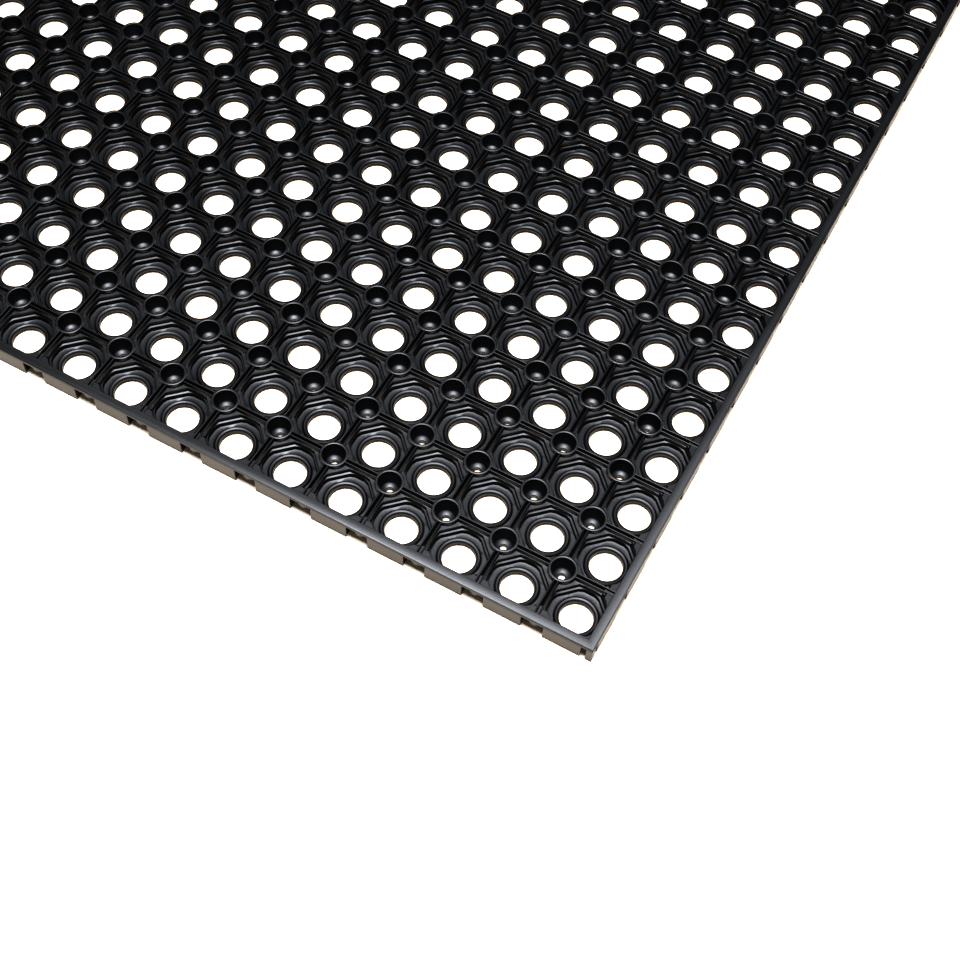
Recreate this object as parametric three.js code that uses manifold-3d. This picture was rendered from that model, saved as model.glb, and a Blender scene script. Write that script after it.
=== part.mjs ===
// Rubber ring mat: one black moulding of octagonal wells, each with a drain hole through its
// floor, and a bored ring post where four wells meet. It lies flat, top side up.
// Millimetres, +Z up, origin at the middle of the underside, +Y along the longer side.

import * as THREE from 'three';
import { mergeGeometries, mergeVertices } from 'three/addons/utils/BufferGeometryUtils.js';
import Module from 'manifold-3d';

// Driving sizes
const PITCH = 62.5; // from one drain hole to the next, both ways
const COLUMNS = 16; // wells across, along X
const ROWS = 24; // wells along, along Y
const THICKNESS = 23; // from the floor to the top of the ribs
const WALL_WIDTH = 5; // top of the double rib between two wells
const EDGE_BAND = 10; // flat band round the top, outside the edge wells
const DRAIN_DIAMETER = 31; // drain hole at the underside
const BORE_TOP = 22.5; // diameter of a ring post's bore at its top
const BORE_FOOT = 12; // the same bore at the underside
const LIP = 3; // band left over each side notch
const NOTCH_DEPTH = 5; // how far a side notch reaches in from the edge
const NOTCH_WIDTH = 23; // along the edge, centred on each wall between wells
const CORNER_JOIN = 2; // how much wider a corner foot is than the side notches are deep
const CORNER_NOTCH = 5.5; // notch beside a corner foot, along the edge
const BANDS = ['front', 'middle', 'back']; // meshes that share the rows between them

// How round the holes are, and how far a cutter runs past the faces it opens
const WELL_SIDES = 8;
const BORE_SIDES = 4;
const PAST = 1;

const width = COLUMNS * PITCH;
const length = ROWS * PITCH;
const wellWidth = PITCH - WALL_WIDTH;
const cornerFoot = NOTCH_DEPTH + CORNER_JOIN;

const rubber = new THREE.MeshStandardMaterial({ color: 0x1f2023, roughness: 0.62, metalness: 0 });

const wasm = await Module();
wasm.setup();

function solidOf(geometry) {
  geometry.deleteAttribute('normal');
  geometry.deleteAttribute('uv');
  const welded = mergeVertices(geometry);
  const mesh = new wasm.Mesh({
    numProp: 3,
    vertProperties: new Float32Array(welded.attributes.position.array),
    triVerts: new Uint32Array(welded.index.array),
  });
  return new wasm.Manifold(mesh);
}

function meshOf(name, solid) {
  const { vertProperties, triVerts } = solid.getMesh();
  const geometry = new THREE.BufferGeometry();
  geometry.setAttribute('position', new THREE.BufferAttribute(vertProperties, 3));
  geometry.setIndex(new THREE.BufferAttribute(triVerts, 1));
  geometry.computeVertexNormals();
  const mesh = new THREE.Mesh(geometry, rubber);
  mesh.name = name;
  return mesh;
}

function box(low, high) {
  const size = high.map((value, axis) => value - low[axis]);
  const middle = high.map((value, axis) => (value + low[axis]) / 2);
  return new THREE.BoxGeometry(...size).translate(...middle);
}

// Corner radius of the regular polygon that is as large as a circle of this diameter.
function cornerRadius(diameter, sides) {
  const turn = (2 * Math.PI) / sides;
  return (diameter / 2) * Math.sqrt(turn / Math.sin(turn));
}

// A hole that narrows evenly from the top face to the underside, and runs past both.
function funnel(sides, topRadius, footRadius, turn, x, y) {
  const slope = (topRadius - footRadius) / THICKNESS;
  const height = THICKNESS + 2 * PAST;
  return new THREE.CylinderGeometry(topRadius + slope * PAST, footRadius - slope * PAST, height, sides)
    .rotateX(Math.PI / 2)
    .rotateZ(turn)
    .translate(x, y, THICKNESS / 2);
}

// Middle of column i or row j, counted from the mat's low side; halves give the walls.
const acrossAt = (i) => (i + 0.5) * PITCH - width / 2;
const alongAt = (j) => (j + 0.5) * PITCH - length / 2;

function wells() {
  const topRadius = wellWidth / 2 / Math.cos(Math.PI / WELL_SIDES);
  const footRadius = cornerRadius(DRAIN_DIAMETER, WELL_SIDES);
  const turn = Math.PI / WELL_SIDES;
  const cutters = [];
  for (let j = 0; j < ROWS; j += 1) {
    for (let i = 0; i < COLUMNS; i += 1) {
      cutters.push(funnel(WELL_SIDES, topRadius, footRadius, turn, acrossAt(i), alongAt(j)));
    }
  }
  return cutters;
}

function postBores() {
  const topRadius = cornerRadius(BORE_TOP, BORE_SIDES);
  const footRadius = cornerRadius(BORE_FOOT, BORE_SIDES);
  const cutters = [];
  for (let j = 1; j < ROWS; j += 1) {
    for (let i = 1; i < COLUMNS; i += 1) {
      const x = acrossAt(i - 0.5);
      const y = alongAt(j - 0.5);
      cutters.push(funnel(BORE_SIDES, topRadius, footRadius, 0, x, y));
    }
  }
  return cutters;
}

// Notches along one side: one under every wall, and a short one beside each corner foot.
function notchSpans(count) {
  const half = (count * PITCH) / 2;
  const spans = [];
  for (let k = 1; k < count; k += 1) {
    const middle = k * PITCH - half;
    spans.push([middle - NOTCH_WIDTH / 2, middle + NOTCH_WIDTH / 2]);
  }
  const outer = half - cornerFoot;
  const inner = outer - CORNER_NOTCH;
  spans.push([inner, outer], [-outer, -inner]);
  return spans;
}

function sideNotches() {
  const top = THICKNESS - LIP;
  const cutters = [];
  for (const side of [-1, 1]) {
    const ends = [side * (length / 2 - NOTCH_DEPTH), side * (length / 2 + PAST)].sort((a, b) => a - b);
    for (const [low, high] of notchSpans(COLUMNS)) {
      cutters.push(box([low, ends[0], -PAST], [high, ends[1], top]));
    }
    const flanks = [side * (width / 2 - NOTCH_DEPTH), side * (width / 2 + PAST)].sort((a, b) => a - b);
    for (const [low, high] of notchSpans(ROWS)) {
      cutters.push(box([flanks[0], low, -PAST], [flanks[1], high, top]));
    }
  }
  return cutters;
}

function wholeMat() {
  const slab = solidOf(box([-width / 2, -length / 2, 0], [width / 2, length / 2, THICKNESS]));
  const insideBand = solidOf(
    box(
      [EDGE_BAND - width / 2, EDGE_BAND - length / 2, -2 * PAST],
      [width / 2 - EDGE_BAND, length / 2 - EDGE_BAND, THICKNESS + 2 * PAST],
    ),
  );
  const openings = solidOf(mergeGeometries(wells())).intersect(insideBand);
  return slab
    .subtract(openings)
    .subtract(solidOf(mergeGeometries(postBores())))
    .subtract(solidOf(mergeGeometries(sideNotches())));
}

// The moulding is cut between rows of wells, in the groove of the double ribs, so that each
// mesh stays light; neighbours meet face to face.
const mat = wholeMat();
const group = new THREE.Group();
BANDS.forEach((band, k) => {
  const from = Math.round((k * ROWS) / BANDS.length) * PITCH - length / 2;
  const to = Math.round(((k + 1) * ROWS) / BANDS.length) * PITCH - length / 2;
  const cut = solidOf(box([-width / 2 - PAST, from, -PAST], [width / 2 + PAST, to, THICKNESS + PAST]));
  group.add(meshOf(`ring_mat_${band}`, mat.intersect(cut)));
});

export default group;
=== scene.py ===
# %% [markdown]
# Rubber ring mat. The real mat is one black moulding, pressed in a heated steel mould. It is a
# square lattice of octagonal wells, each with stepped walls and a drain hole with a raised
# collar, and a hollow ring post stands where four wells meet. Everything here is worked out from
# one pitch, so the shapes are numpy arrays that are repeated over the lattice.

import math

import bpy
import numpy as np
from mathutils import Matrix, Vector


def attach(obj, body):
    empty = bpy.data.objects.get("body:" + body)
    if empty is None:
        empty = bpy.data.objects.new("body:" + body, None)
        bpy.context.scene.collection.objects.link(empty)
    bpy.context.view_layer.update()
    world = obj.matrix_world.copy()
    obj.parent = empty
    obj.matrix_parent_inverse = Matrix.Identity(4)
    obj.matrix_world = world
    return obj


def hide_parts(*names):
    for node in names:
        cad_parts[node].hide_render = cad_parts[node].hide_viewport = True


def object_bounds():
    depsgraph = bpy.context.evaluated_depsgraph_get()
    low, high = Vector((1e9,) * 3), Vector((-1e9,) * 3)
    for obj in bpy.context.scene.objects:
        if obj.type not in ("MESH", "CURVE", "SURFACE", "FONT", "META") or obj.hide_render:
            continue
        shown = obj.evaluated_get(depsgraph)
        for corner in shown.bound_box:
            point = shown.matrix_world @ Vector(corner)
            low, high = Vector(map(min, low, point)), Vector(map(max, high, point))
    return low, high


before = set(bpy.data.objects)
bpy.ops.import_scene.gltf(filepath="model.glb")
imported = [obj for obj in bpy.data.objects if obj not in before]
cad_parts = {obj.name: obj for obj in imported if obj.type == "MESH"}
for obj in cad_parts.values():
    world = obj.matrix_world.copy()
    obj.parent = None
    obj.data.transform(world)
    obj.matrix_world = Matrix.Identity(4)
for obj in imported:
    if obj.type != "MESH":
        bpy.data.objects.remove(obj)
cad_low, cad_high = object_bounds()
print("CAD box:", tuple(cad_low), tuple(cad_high))

# %% [markdown]
# The lattice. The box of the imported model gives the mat's outline, and the pitch of 62.5 mm says
# how many wells it holds. All shapes are made in millimetres and turned to metres at the end,
# because the real mat is drawn in millimetres too.

# %% Lattice values
MM = 0.001
PITCH = 62.5
HALF = PITCH / 2
width, length, top = [(high - low) / MM for low, high in zip(cad_low, cad_high)]
columns = round(width / PITCH)
rows = round(length / PITCH)
column_middles = (np.arange(columns) + 0.5) * PITCH - width / 2
row_middles = (np.arange(rows) + 0.5) * PITCH - length / 2
SOLE = 2.0  # height of the flat underside over the floor; the pips fill it
print("wells:", columns, "by", rows, "thickness in mm:", round(top, 2))

# %% [markdown]
# A mesh from a grid. Each shape is a stack of closed loops of points, one over or outside the
# other, and the faces between two neighbouring loops are quads. Points that fall together are
# welded, and a quad that loses a corner that way becomes a triangle.


# %% Mesh helpers
def loop_quads(loops, around):
    """Quads between neighbouring loops: corner numbers (l, k), (l, k+1), (l+1, k+1), (l+1, k)."""
    level, k = np.meshgrid(np.arange(loops - 1), np.arange(around), indexing="ij")
    after = (k + 1) % around
    low = level * around
    quads = np.stack([low + k, low + after, low + around + after, low + around + k], axis=-1)
    return quads.reshape(-1, 4)


def repeat(points, quads, places):
    """The same shape at each place: points get the place added, quads get a running offset."""
    count = len(points)
    all_points = points[None, :, :] + places[:, None, :]
    offsets = np.arange(len(places)) * count
    all_quads = quads[None, :, :] + offsets[:, None, None]
    return all_points.reshape(-1, 3), all_quads.reshape(-1, 4)


def join(parts):
    """Several (points, quads) pairs as one pair, with each part's numbers moved past the last."""
    sizes = [len(points) for points, quads in parts]
    starts = np.concatenate([[0], np.cumsum(sizes)[:-1]])
    points = np.concatenate([part[0] for part in parts])
    quads = np.concatenate([part[1] + start for part, start in zip(parts, starts)])
    return points, quads


def weld(points, quads, grid=1e-3):
    """Points closer than the grid become one, and corners that repeat are marked with -1."""
    keys = np.round(points / grid).astype(np.int64)
    unused, first, number = np.unique(keys, axis=0, return_index=True, return_inverse=True)
    corners = number.reshape(-1)[quads]
    repeated = corners == np.roll(corners, -1, axis=1)
    corners = np.where(repeated, -1, corners)
    corners = corners[(corners >= 0).sum(axis=1) >= 3]
    return points[first], corners


def make_piece(name, points, quads, sharp_degrees):
    """A welded mesh in metres, smooth except where two faces meet at a sharp angle."""
    points, corners = weld(points, quads)
    kept = corners >= 0
    totals = kept.sum(axis=1)
    starts = np.concatenate([[0], np.cumsum(totals)[:-1]])
    mesh = bpy.data.meshes.new(name)
    mesh.vertices.add(len(points))
    mesh.vertices.foreach_set("co", (points * MM).astype(np.float32).ravel())
    mesh.loops.add(int(totals.sum()))
    mesh.loops.foreach_set("vertex_index", corners[kept].astype(np.int32))
    mesh.polygons.add(len(totals))
    mesh.polygons.foreach_set("loop_start", starts.astype(np.int32))
    mesh.update(calc_edges=True)
    mesh.validate()
    mesh.shade_smooth()
    mesh.set_sharp_from_angle(angle=math.radians(sharp_degrees))
    piece = bpy.data.objects.new(name, mesh)
    bpy.context.scene.collection.objects.link(piece)
    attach(piece, "root")
    print(name, "triangles:", int((totals - 2).sum()))
    return piece


# %% [markdown]
# The well. Seen from above, its drain hole and collar are round and the steps on its walls are
# octagons. The profile below gives for each loop whether it is a circle or an octagon, how far it
# lies from the middle on its slants and on its sides, and how high. It starts under the drain
# hole, goes over the rounded collar, down into a moat and up two steps. The steps are wide on the
# slants, under the ring posts, and close to nothing on the sides, where the wall is steep. Three
# more loops run along the walls between wells and round the ring posts.

# %% Well profile
AROUND = 32
QUARTER = AROUND // 4
CORNER_RUN = np.arange(2, 7)  # the five points of a quarter that lie at its corner
turn = np.arange(AROUND) * 2 * np.pi / AROUND
quarter_turns = [np.array([[c, s], [-s, c]]) for c, s in ((1, 0), (0, 1), (-1, 0), (0, -1))]

WELL_LOOPS = [
    ("circle", 17.8, 17.8, SOLE),
    ("circle", 16.1, 16.1, 4.6),
    ("circle", 16.3, 16.3, 6.2),
    ("circle", 17.1, 17.1, 7.6),
    ("circle", 18.4, 18.4, 8.4),
    ("circle", 19.8, 19.8, 8.4),
    ("circle", 21.1, 21.1, 7.5),
    ("circle", 21.8, 21.8, 5.0),
    ("circle", 23.0, 23.0, 4.6),
    ("octagon", 25.2, 27.2, 5.4),
    ("octagon", 25.5, 27.5, 11.2),
    ("octagon", 27.0, 27.9, 11.6),
    ("octagon", 27.3, 28.1, 17.0),
]
PLATEAU = 17.2  # ledge beside the ribs and round the ring posts
GROOVE = 15.4  # bottom of the groove between the two ribs of a wall
RIM_LOOPS = [(28.9, 14.2, PLATEAU), (29.7, 13.6, PLATEAU), (HALF, 12.4, GROOVE)]
BAND = 9.5  # flat band round the edge of the mat
BAND_SINK = 0.5  # how far a well's skin runs in under the edge band
CORNER_TOP = 21.8  # filled corner beside the band, just under the ribs
CORNER_FLAT = 28.0  # slanted face of a filled corner, out from the well's middle
MAT_CORNER_TURN = 17.0  # where the fill in a corner of the mat turns along the band
SIDE_CORNER_TURN = 20.0  # the same beside a wall that meets the band
LEDGE_END = 12.0  # where the ledge beside the ribs runs into such a corner
GROOVE_END = 12.5  # and where the groove between the ribs does
LEDGE_SIDE = 0.2  # how far the fill stays clear of the ledge


def ring_points(kind, slant, side):
    """A circle, or an octagon whose flats lie this far out on its slants and on its sides."""
    from_slant = turn % (np.pi / 2) - np.pi / 4
    from_side = (turn + np.pi / 4) % (np.pi / 2) - np.pi / 4
    flats = np.minimum(slant / np.cos(from_slant), side / np.cos(from_side))
    radius = flats if kind == "octagon" else np.full(AROUND, slant)
    return np.stack([radius * np.cos(turn), radius * np.sin(turn)], axis=-1)


def outline(side, bite):
    """A square with its sides this far out and a round bite at each corner, round the post."""
    lean = math.asin((HALF - side) / bite)
    start = HALF - bite * math.cos(lean)
    swing = np.linspace(1.5 * np.pi - lean, np.pi + lean, len(CORNER_RUN))
    arc = HALF + bite * np.stack([np.cos(swing), np.sin(swing)], axis=-1)
    quarter = np.array([[side, 0], [side, start / 2], *arc, [start / 2, side]])
    return np.concatenate([quarter @ spin for spin in quarter_turns])


def filled_corner(edge_first, edge_second):
    """Rim loops of a corner beside the mat's edge, in the corner's own axes, with heights.

    No post stands there: the corner is filled to just under the ribs, and the groove of a wall
    that comes from inside the mat runs on until it meets the band.
    """
    flat = ring_points("octagon", CORNER_FLAT, CORNER_FLAT)[CORNER_RUN]
    band = HALF - BAND + BAND_SINK
    first = flat[0, 1]
    last = (flat[-1, 0], band)
    step = flat[1, 1]
    heights = np.full((len(RIM_LOOPS), len(CORNER_RUN)), CORNER_TOP)
    if edge_first and edge_second:
        turn_in = MAT_CORNER_TURN
        square = np.array([(band, first), (band, turn_in), (band, band), (turn_in, band), last])
        plans = [flat, square, square]
    else:
        ledge = RIM_LOOPS[1][0]
        beside = ledge + LEDGE_SIDE
        along_band = [(SIDE_CORNER_TURN, band), last]
        inner = [(ledge, LEDGE_END), (beside, step), (beside, band), *along_band]
        outer = [(HALF, GROOVE_END), (HALF, step), (HALF, band), *along_band]
        plans = [flat, np.array(inner), np.array(outer)]
        heights[:2, 0] = PLATEAU
        heights[2, :3] = GROOVE
        if edge_first:
            plans = [plan[::-1, ::-1] for plan in plans]
            heights = heights[:, ::-1]
    return np.array(plans), heights


def well_tile(at_edge):
    """Loops of one well. at_edge says for +X, +Y, -X and -Y whether the mat's edge is there."""
    loops = []
    for kind, slant, side, height in WELL_LOOPS:
        plan = ring_points(kind, slant, side)
        loops.append(np.column_stack([plan, np.full(AROUND, height)]))
    for side, bite, height in RIM_LOOPS:
        loops.append(np.column_stack([outline(side, bite), np.full(AROUND, height)]))
    tile = np.array(loops)
    rim = slice(-len(RIM_LOOPS), None)
    for side in range(4):
        around = (at_edge[side], at_edge[(side + 1) % 4])
        if any(around):
            plans, heights = filled_corner(*around)
            corner = side * QUARTER + CORNER_RUN
            tile[rim, corner, :2] = plans @ quarter_turns[side]
            tile[rim, corner, 2] = heights
    for side in range(4):
        if at_edge[side]:
            axis = side % 2
            sign = 1 if side < 2 else -1
            run = (side * QUARTER + np.arange(-1, 2)) % AROUND
            tile[rim, run, 2] = CORNER_TOP
            inside = HALF - BAND
            deep = tile[:, :, axis] * sign
            deep[:-2] = np.minimum(deep[:-2], inside)
            deep[-2:] = np.minimum(deep[-2:], inside + BAND_SINK)
            tile[:, :, axis] = deep * sign
    return tile


tile_shape = well_tile((False,) * 4).shape
print("loops and points round each well:", tile_shape[:2])

# %% [markdown]
# One skin for each third of the mat. The tiles of a third are stacked side by side: the top
# loops, and one more loop straight under the last that closes the underside. A side wall is kept
# only where the next well belongs to another third or there is none, and round the ring posts,
# where it is hidden in the post's wall. A third stays under 200,000 triangles.


# %% Skins of the wells
def band_skin(first, after):
    """Points and quads of the wells in rows first to after - 1, as one skin."""
    parts = []
    for j in range(first, after):
        for i in range(columns):
            at_edge = (i == columns - 1, j == rows - 1, i == 0, j == 0)
            open_side = (i == columns - 1, j == after - 1, i == 0, j == first)
            tile = tiles.setdefault(at_edge, well_tile(at_edge))
            under = tile[-1].copy()
            under[:, 2] = SOLE
            stack = np.concatenate([tile, under[None], tile[:1]])
            points = stack.reshape(-1, 3) + (column_middles[i], row_middles[j], 0)
            quads = loop_quads(len(stack), AROUND)
            wall = (len(tile) - 1) * AROUND
            shared = np.zeros(len(quads), dtype=bool)
            for side in range(4):
                run = (side * QUARTER + np.arange(-2, 2)) % AROUND
                shared[wall + run] = not open_side[side]
            parts.append((points, quads[~shared][:, ::-1]))
    return join(parts)


tiles = {}
third = rows // 3
thirds = {}
for number, node in enumerate(("ring_mat_front", "ring_mat_middle", "ring_mat_back")):
    points, quads = band_skin(number * third, (number + 1) * third)
    piece = make_piece(node.replace("ring_mat", "wells"), points, quads, 32)
    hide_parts(node)
    thirds[node] = piece

# %% [markdown]
# The ring posts. Each is a turned shape: a wall 3 mm thick with a rounded rim, a bore that narrows
# down to a dished seat, and a small hole through the thick sole. A turned shape is its profile
# carried round a circle, and this profile closes on itself, so the post is one closed ring. The
# profile climbs the outside first and comes down the bore, which turns the faces outwards.

# %% Ring posts
POST_AROUND = 20
POST_FOOT = SOLE + 0.03
POST_PROFILE = np.array(
    [
        (14.6, POST_FOOT),
        (14.6, 21.9),
        (14.25, 22.7),
        (13.6, 23.0),
        (12.4, 23.0),
        (11.7, 22.7),
        (11.3, 21.9),
        (9.3, 8.4),
        (8.0, 7.1),
        (3.9, 6.2),
        (3.4, 5.5),
        (3.6, 4.0),
        (6.0, POST_FOOT),
    ]
)


def turned(profile, around):
    """Points (r cos a, r sin a, z) for each profile point and angle, closed at its own start."""
    angle = np.arange(around) * 2 * np.pi / around
    closed = np.concatenate([profile, profile[:1]])
    radius, height = closed[:, :1], closed[:, 1:]
    x = radius * np.cos(angle)
    y = radius * np.sin(angle)
    z = height + np.zeros(around)
    return np.stack([x, y, z], axis=-1).reshape(-1, 3), loop_quads(len(closed), around)


def lattice(xs, ys):
    """Every pair of an x and a y, at height 0."""
    x, y = np.meshgrid(xs, ys, indexing="ij")
    return np.column_stack([x.ravel(), y.ravel(), np.zeros(x.size)])


post_xs = column_middles[:-1] + HALF
post_ys = row_middles[:-1] + HALF
post_places = lattice(post_xs, post_ys)
post_points, post_quads = turned(POST_PROFILE, POST_AROUND)
points, quads = repeat(post_points, post_quads, post_places)
posts = make_piece("ring_posts", points, quads, 40)
print("ring posts:", len(post_places))

# %% [markdown]
# The double ribs. Two thin ribs run side by side along every wall, from post to post, with the
# dark groove between them. A rib is a bar with a rounded back: its section of six points is
# carried from one end to the other.

# %% Double ribs
RIB_WIDTH = 1.6
RIB_FROM_MIDDLE = 2.15
RIB_TOP = 22.92
RIB_FOOT = 14.6
RIB_ROUND = 0.55
RIB_SINK = 12.6  # a rib ends this far from a post's middle, inside the post's wall
RIB_INTO_BAND = 0.6  # how far a rib runs on under the edge band
SECTION = 6  # points in a rib's section, numbered 0 to 5 at its start and 6 to 11 at its end
START_CAP = [[0, 5, 4, 1], [1, 4, 3, 2]]
END_CAP = [[6, 7, 10, 11], [7, 8, 9, 10]]


def bars(starts, ends):
    """Bars with a rounded back between points on the floor plan, seen along their length."""
    half = RIB_WIDTH / 2
    shoulder = RIB_TOP - RIB_ROUND
    across = np.array([-half, -half, -half + RIB_ROUND, half - RIB_ROUND, half, half])
    height = np.array([RIB_FOOT, shoulder, RIB_TOP, RIB_TOP, shoulder, RIB_FOOT])
    along = ends - starts
    along = along / np.linalg.norm(along, axis=1, keepdims=True)
    sideways = np.column_stack([along[:, 1], -along[:, 0]])
    ways = np.stack([starts, ends], axis=1)[:, :, None, :]
    plan = ways + across[:, None] * sideways[:, None, None, :]
    heights = np.broadcast_to(height[:, None], (*plan.shape[:3], 1))
    points = np.concatenate([plan, heights], axis=-1).reshape(-1, 3)
    sides = np.concatenate([loop_quads(2, SECTION), START_CAP, END_CAP])
    offsets = np.arange(len(starts)) * 2 * SECTION
    return points, (sides[None] + offsets[:, None, None]).reshape(-1, 4)


def rib_ends(count, size):
    """Where the ribs along one line start and end: between posts, and from a post to the band."""
    posts_at = (np.arange(1, count) * PITCH) - size / 2
    edge = size / 2 - BAND + RIB_INTO_BAND
    starts = np.concatenate([[-edge], posts_at + RIB_SINK])
    ends = np.concatenate([posts_at - RIB_SINK, [edge]])
    return starts, ends


rib_parts = []
for offset in (-RIB_FROM_MIDDLE, RIB_FROM_MIDDLE):
    start, end = rib_ends(rows, length)
    line, at = np.meshgrid(post_xs + offset, start, indexing="ij")
    until = np.broadcast_to(end, at.shape)
    starts = np.column_stack([line.ravel(), at.ravel()])
    rib_parts.append(bars(starts, np.column_stack([line.ravel(), until.ravel()])))
    start, end = rib_ends(columns, width)
    line, at = np.meshgrid(post_ys + offset, start, indexing="ij")
    until = np.broadcast_to(end, at.shape)
    starts = np.column_stack([at.ravel(), line.ravel()])
    rib_parts.append(bars(starts, np.column_stack([until.ravel(), line.ravel()])))
points, quads = join(rib_parts)
ribs = make_piece("double_ribs", points, quads, 60)

# %% [markdown]
# The edge. A flat band runs round the top of the mat. Under it the edge stands on feet, one
# beside each well, and between two feet a notch is open below. In every notch a round peg hangs
# from the band, partly behind the notch's wall. The band and that wall are one section carried
# round the outline, and the feet are plain blocks that run a little into both.

# %% Edge band, feet and pegs
LIP_UNDER = 19.6  # height of the band's underside
RECESS = 8.6  # how deep the notches reach in from the edge, to a thin wall
WALL_BACK = 0.1  # how far that wall stays behind the band's inner edge
FOOT_HALF = 19.7  # half the width of a foot
FOOT_INTO_LIP = 0.5
FOOT_INTO_WALL = 0.4
FOOT_EASE = 0.35  # eased upright edges of a foot
CORNER_FOOT = 6.6
CORNER_NOTCH = 5.5
BAND_EASE = 0.5  # eased inner edge of the band
BEVEL = 1.6  # width of the slope on the band's outer edge
BEVEL_DROP = 0.4
OUTER_ROUND = [(0.5, 0.0), (0.1, 0.3), (0.0, 0.7)]  # in from the edge, and down from the slope
PEG_AROUND = 16
PEG_INSET = 10.8
PEG_INTO_LIP = 0.4
PEG_PROFILE = np.array(
    [
        (0.0, 5.0),
        (4.4, 5.4),
        (7.3, 7.0),
        (8.3, 9.6),
        (8.3, LIP_UNDER + PEG_INTO_LIP),
        (0.0, LIP_UNDER + PEG_INTO_LIP),
    ]
)


def frame_section(section):
    """A closed section carried round the mat's outline: distance in from the edge, and height."""
    inset, height = section[:, :1], section[:, 1:]
    signs = np.array([(1, 1), (-1, 1), (-1, -1), (1, -1)])
    x = signs[:, 0] * (width / 2 - inset)
    y = signs[:, 1] * (length / 2 - inset)
    z = height + np.zeros(4)
    points = np.stack([x, y, z], axis=-1)
    closed = np.concatenate([points, points[:1]])
    return closed.reshape(-1, 3), loop_quads(len(closed), 4)[:, ::-1]


lip_section = np.array(
    [
        (0.0, LIP_UNDER),
        (RECESS, LIP_UNDER),
        (RECESS, POST_FOOT),
        (BAND - WALL_BACK, POST_FOOT),
        (BAND - WALL_BACK, top - BAND_EASE - WALL_BACK),
        (BAND, top - BAND_EASE),
        (BAND - BAND_EASE, top),
        (BEVEL, top),
        *[(inset, top - BEVEL_DROP - down) for inset, down in OUTER_ROUND],
    ]
)


def foot(xs, ys):
    """A foot between two xs and two ys, from the sole into the band, upright edges eased."""
    x0, x1 = sorted(xs)
    y0, y1 = sorted(ys)
    plan = np.array(
        [
            (x0 + FOOT_EASE, y0), (x1 - FOOT_EASE, y0), (x1, y0 + FOOT_EASE), (x1, y1 - FOOT_EASE),
            (x1 - FOOT_EASE, y1), (x0 + FOOT_EASE, y1), (x0, y1 - FOOT_EASE), (x0, y0 + FOOT_EASE),
        ]
    )
    pole = np.broadcast_to(plan.mean(axis=0), plan.shape)
    low = np.full(len(plan), POST_FOOT)
    high = np.full(len(plan), LIP_UNDER + FOOT_INTO_LIP)
    loops = [(pole, low), (plan, low), (plan, high), (pole, high)]
    points = np.concatenate([np.column_stack(loop) for loop in loops])
    return points, loop_quads(len(loops), len(plan))


def feet_of(count, size):
    """Spans of the feet along one side, one beside each well; the end ones reach the notches
    beside the corner feet."""
    middles = (np.arange(count) + 0.5) * PITCH - size / 2
    spans = [(m - FOOT_HALF, m + FOOT_HALF) for m in middles]
    end = size / 2 - CORNER_FOOT - CORNER_NOTCH
    spans[0] = (-end, spans[0][1])
    spans[-1] = (spans[-1][0], end)
    return spans


edge_parts = [frame_section(lip_section)]
depth = RECESS + FOOT_INTO_WALL
for sign in (-1, 1):
    at_end = (sign * length / 2, sign * (length / 2 - depth))
    edge_parts += [foot(span, at_end) for span in feet_of(columns, width)]
    at_side = (sign * width / 2, sign * (width / 2 - depth))
    edge_parts += [foot(at_side, span) for span in feet_of(rows, length)]
    for other in (-1, 1):
        xs = (sign * width / 2, sign * (width / 2 - CORNER_FOOT))
        ys = (other * length / 2, other * (length / 2 - CORNER_FOOT))
        edge_parts.append(foot(xs, ys))
points, quads = join(edge_parts)
edge = make_piece("edge_band_and_feet", points, quads, 40)

peg_ys = np.array([-1, 1]) * (length / 2 - PEG_INSET)
peg_xs = np.array([-1, 1]) * (width / 2 - PEG_INSET)
peg_places = np.concatenate([lattice(post_xs, peg_ys), lattice(peg_xs, post_ys)])
peg_points, peg_quads = turned(PEG_PROFILE, PEG_AROUND)
points, quads = repeat(peg_points, peg_quads, peg_places)
pegs = make_piece("edge_pegs", points, quads, 50)
print("pegs:", len(peg_places))

# %% [markdown]
# The pips. The sole doesn't lie on the floor: it stands on small round pips, eight round the
# hole of each post and one under the middle of each wall. A pip is a turned dome with its pole
# on the floor.

# %% Pips
PIP_AROUND = 8
PIPS_ROUND_POST = 8
PIP_RING = 0.26 * PITCH
PIP_CLEAR = 1.0  # how far a pip's middle stays inside the edge band
PIP_PROFILE = np.array([(0.0, 0.0), (1.9, 0.7), (2.1, SOLE + 1), (0.0, SOLE + 1)])


def pip_places():
    """Eight places round each lattice point and one under each wall, all inside the band."""
    angles = np.arange(PIPS_ROUND_POST) * 2 * np.pi / PIPS_ROUND_POST
    spread = PIP_RING * np.stack([np.cos(angles), np.sin(angles)], axis=-1)
    every = lattice(
        np.arange(columns + 1) * PITCH - width / 2, np.arange(rows + 1) * PITCH - length / 2
    )[:, :2]
    round_posts = (every[:, None] + spread[None]).reshape(-1, 2)
    wall_x = lattice(post_xs, row_middles)[:, :2]
    wall_y = lattice(column_middles, post_ys)[:, :2]
    places = np.concatenate([round_posts, wall_x, wall_y])
    inside = (np.abs(places) < np.array([width, length]) / 2 - BAND - PIP_CLEAR).all(axis=1)
    places = places[inside]
    return np.column_stack([places, np.zeros(len(places))])


pip_points, pip_quads = turned(PIP_PROFILE, PIP_AROUND)
pip_quads = pip_quads[: (len(PIP_PROFILE) - 1) * PIP_AROUND]
places = pip_places()
points, quads = repeat(pip_points, pip_quads, places)
pips = make_piece("pips", points, quads, 60)
print("pips:", len(places))

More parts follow.
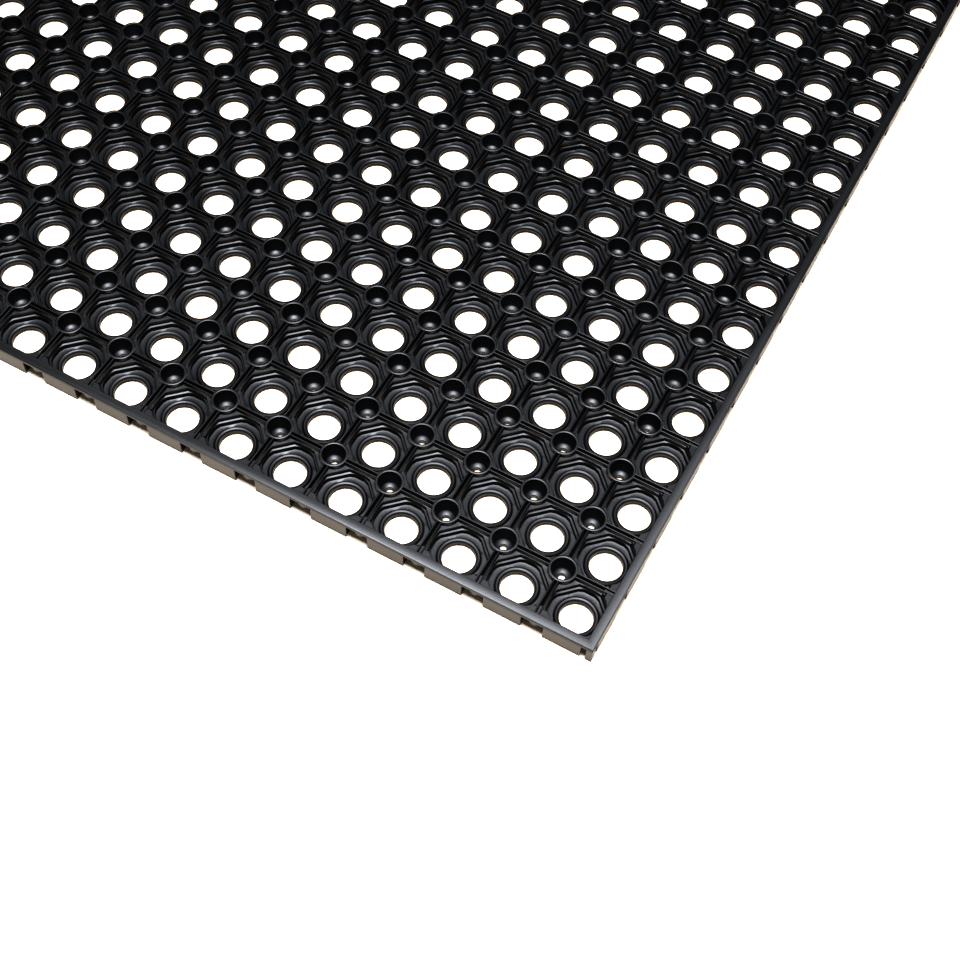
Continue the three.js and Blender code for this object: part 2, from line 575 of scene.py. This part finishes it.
# %% [markdown]
# The rubber. Compression-moulded SBR filled with carbon black is nearly black and satin, with a
# faint bloom that lies in patches, and its surface copies the blasted steel of the mould as a fine
# grain. What the eye sees is mostly a weak, broad highlight on every rounded edge. The patches
# are about 11 cm wide. The real grain is finer than a tenth of a millimetre, and is drawn about
# 1 mm wide because it would be lost in the render.


# %% Rubber material
PATCHES_PER_METRE = 9.0
GRAINS_PER_METRE = 900.0
GRAIN_DEPTH = 0.0003
BLOOM_FROM = 0.35
BLOOM_TO = 0.7
DARK_RUBBER = "#020203"
BLOOMED_RUBBER = "#050607"
RUBBER_IOR = 1.52
RUBBER_SHINE = 0.46


def linear(hex_colour):
    """An sRGB hex colour as linear values with alpha 1."""
    parts = [int(hex_colour[k : k + 2], 16) / 255 for k in (1, 3, 5)]
    lin = [c / 12.92 if c <= 0.04045 else ((c + 0.055) / 1.055) ** 2.4 for c in parts]
    return (*lin, 1.0)


def add_node(tree, kind, settings=None, inputs=None, links=None):
    """Adds a node, sets its properties and input values, and links (node, output) to inputs."""
    node = tree.nodes.new(kind)
    for key, value in (settings or {}).items():
        setattr(node, key, value)
    for key, value in (inputs or {}).items():
        node.inputs[key].default_value = value
    for key, (source, output) in (links or {}).items():
        tree.links.new(source.outputs[output], node.inputs[key])
    return node


def moulded_rubber():
    """Compression-moulded SBR rubber: nearly black, satin, with a faint patchy bloom."""
    material = bpy.data.materials.new("moulded_sbr_rubber")
    material.use_nodes = True
    tree = material.node_tree
    shader = tree.nodes["Principled BSDF"]
    place = add_node(tree, "ShaderNodeTexCoord")
    patches = add_node(
        tree, "ShaderNodeTexNoise",
        inputs={"Scale": PATCHES_PER_METRE, "Detail": 4.0, "Roughness": 0.6},
        links={"Vector": (place, "Object")},
    )
    bloom = add_node(tree, "ShaderNodeValToRGB", links={"Fac": (patches, "Fac")})
    dark, bloomed = bloom.color_ramp.elements
    dark.position = BLOOM_FROM
    dark.color = linear(DARK_RUBBER)
    bloomed.position = BLOOM_TO
    bloomed.color = linear(BLOOMED_RUBBER)
    tree.links.new(bloom.outputs["Color"], shader.inputs["Base Color"])
    grain = add_node(
        tree, "ShaderNodeTexNoise",
        inputs={"Scale": GRAINS_PER_METRE, "Detail": 2.0},
        links={"Vector": (place, "Object")},
    )
    rough = add_node(
        tree, "ShaderNodeMapRange",
        inputs={"From Min": 0.3, "From Max": 0.7, "To Min": 0.39, "To Max": 0.48},
        links={"Value": (patches, "Fac")},
    )
    tree.links.new(rough.outputs["Result"], shader.inputs["Roughness"])
    bump = add_node(
        tree, "ShaderNodeBump",
        inputs={"Strength": 0.25, "Distance": GRAIN_DEPTH},
        links={"Height": (grain, "Fac")},
    )
    tree.links.new(bump.outputs["Normal"], shader.inputs["Normal"])
    shader.inputs["IOR"].default_value = RUBBER_IOR
    shader.inputs["Specular IOR Level"].default_value = RUBBER_SHINE
    return material


rubber = moulded_rubber()
for piece in (*thirds.values(), posts, ribs, edge, pegs, pips):
    piece.data.materials.append(rubber)

# %% [markdown]
# The studio: a plain pale floor under the mat, a weak even surround, and one large soft lamp. The
# lamp hangs high over the near edge of the mat. The far side of each collar and bore faces the
# camera and catches it as a light arc, while the lip's own shadow keeps the notches dark. The
# floor is lit past white, and what it throws back warms the feet. The standard view with high
# contrast gives the deep blacks of a product picture.

# %% Floor and light
FLOOR_SIZE = 12.0
FLOOR_COLOUR = "#fae9d2"
FLOOR_ROUGHNESS = 0.9
GLOW_COLOUR = "#fff6ea"
GLOW = 0.005  # a trace of light from the floor itself, for the deepest shadows
SURROUND_COLOUR = "#ffffff"
SURROUND = 0.14
LAMP_COLOUR = "#f4f7ff"
LAMP_SIZE = 1.5
LAMP_POWER = 470
LAMP_AT = (0.3, -0.95, 4.5)
corner = FLOOR_SIZE / 2
floor_mesh = bpy.data.meshes.new("floor")
floor_mesh.from_pydata(
    [(-corner, -corner, 0), (corner, -corner, 0), (corner, corner, 0), (-corner, corner, 0)],
    [],
    [(0, 1, 2, 3)],
)
floor = bpy.data.objects.new("floor", floor_mesh)
bpy.context.scene.collection.objects.link(floor)
pale = bpy.data.materials.new("pale_floor")
pale.use_nodes = True
pale_shader = pale.node_tree.nodes["Principled BSDF"]
pale_shader.inputs["Base Color"].default_value = linear(FLOOR_COLOUR)
pale_shader.inputs["Roughness"].default_value = FLOOR_ROUGHNESS
pale_shader.inputs["Emission Color"].default_value = linear(GLOW_COLOUR)
pale_shader.inputs["Emission Strength"].default_value = GLOW
floor_mesh.materials.append(pale)

world = bpy.data.worlds.new("studio")
world.use_nodes = True
world.node_tree.nodes["Background"].inputs["Color"].default_value = linear(SURROUND_COLOUR)
world.node_tree.nodes["Background"].inputs["Strength"].default_value = SURROUND
bpy.context.scene.world = world

lamp_data = bpy.data.lights.new("soft_lamp", "AREA")
lamp_data.shape = "SQUARE"
lamp_data.size = LAMP_SIZE
lamp_data.energy = LAMP_POWER
lamp_data.color = linear(LAMP_COLOUR)[:3]
lamp = bpy.data.objects.new("soft_lamp", lamp_data)
lamp.matrix_world = Matrix.Translation(LAMP_AT)
bpy.context.scene.collection.objects.link(lamp)

bpy.context.scene.view_settings.view_transform = "Standard"
bpy.context.scene.view_settings.look = "High Contrast"

# %% [markdown]
# The camera hangs over the floor beyond the near right corner and looks steeply down on the mat,
# turned to the left. It is turned a little about its own axis too. Its place and its lens come
# from fitting the drain holes' middles to where they lie in the picture.

# %% Camera
CAMERA_AT = (0.6431, -1.3400, 1.2861)
HEADING = 24.57
TILT = 31.27
ROLL = 4.83
LENS = 57.6
SENSOR = 36
camera_data = bpy.data.cameras.new("camera")
camera_data.lens = LENS
camera_data.sensor_width = SENSOR
camera = bpy.data.objects.new("camera", camera_data)
camera.matrix_world = (
    Matrix.Translation(CAMERA_AT)
    @ Matrix.Rotation(math.radians(HEADING), 4, "Z")
    @ Matrix.Rotation(math.radians(TILT), 4, "X")
    @ Matrix.Rotation(math.radians(ROLL), 4, "Z")
)
bpy.context.scene.collection.objects.link(camera)
bpy.context.scene.camera = camera
